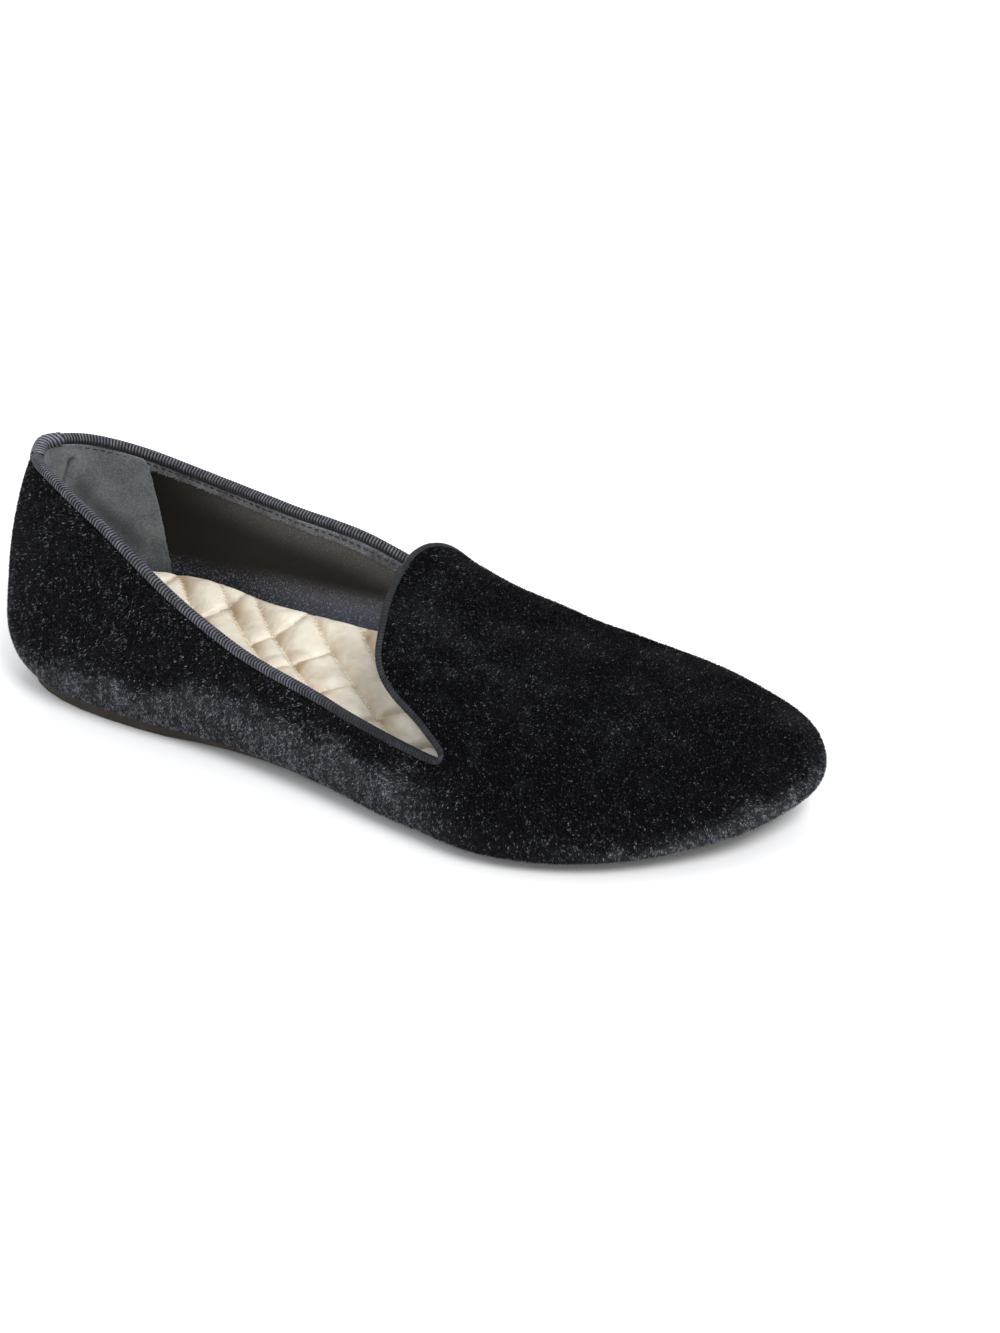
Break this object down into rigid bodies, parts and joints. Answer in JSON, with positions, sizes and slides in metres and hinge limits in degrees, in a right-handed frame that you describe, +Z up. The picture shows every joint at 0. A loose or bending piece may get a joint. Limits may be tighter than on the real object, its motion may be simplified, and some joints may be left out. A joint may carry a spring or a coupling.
{
  "type": "slipper loafer",
  "caption": "Flat velvet slipper loafer with a notched tongue, ribbon-bound topline, quilted insole and thin rubber sole.",
  "frame": {"origin": "on the floor under the middle of the shoe", "axes": "+X from heel to toe, +Y to the inner side of the foot, +Z up"},
  "size_m": [0.2578, 0.092, 0.076],
  "materials": {
    "velvet": "short blue-black velvet pile",
    "sole_rubber": "matte dark brown rubber",
    "satin": "ivory satin, quilted in diamonds",
    "ribbon": "charcoal ribbed grosgrain"
  },
  "bodies": {
    "root": {"upper": "velvet", "outsole": "sole_rubber", "insole": "satin", "topline_binding": "ribbon"}
  },
  "joints": []
}
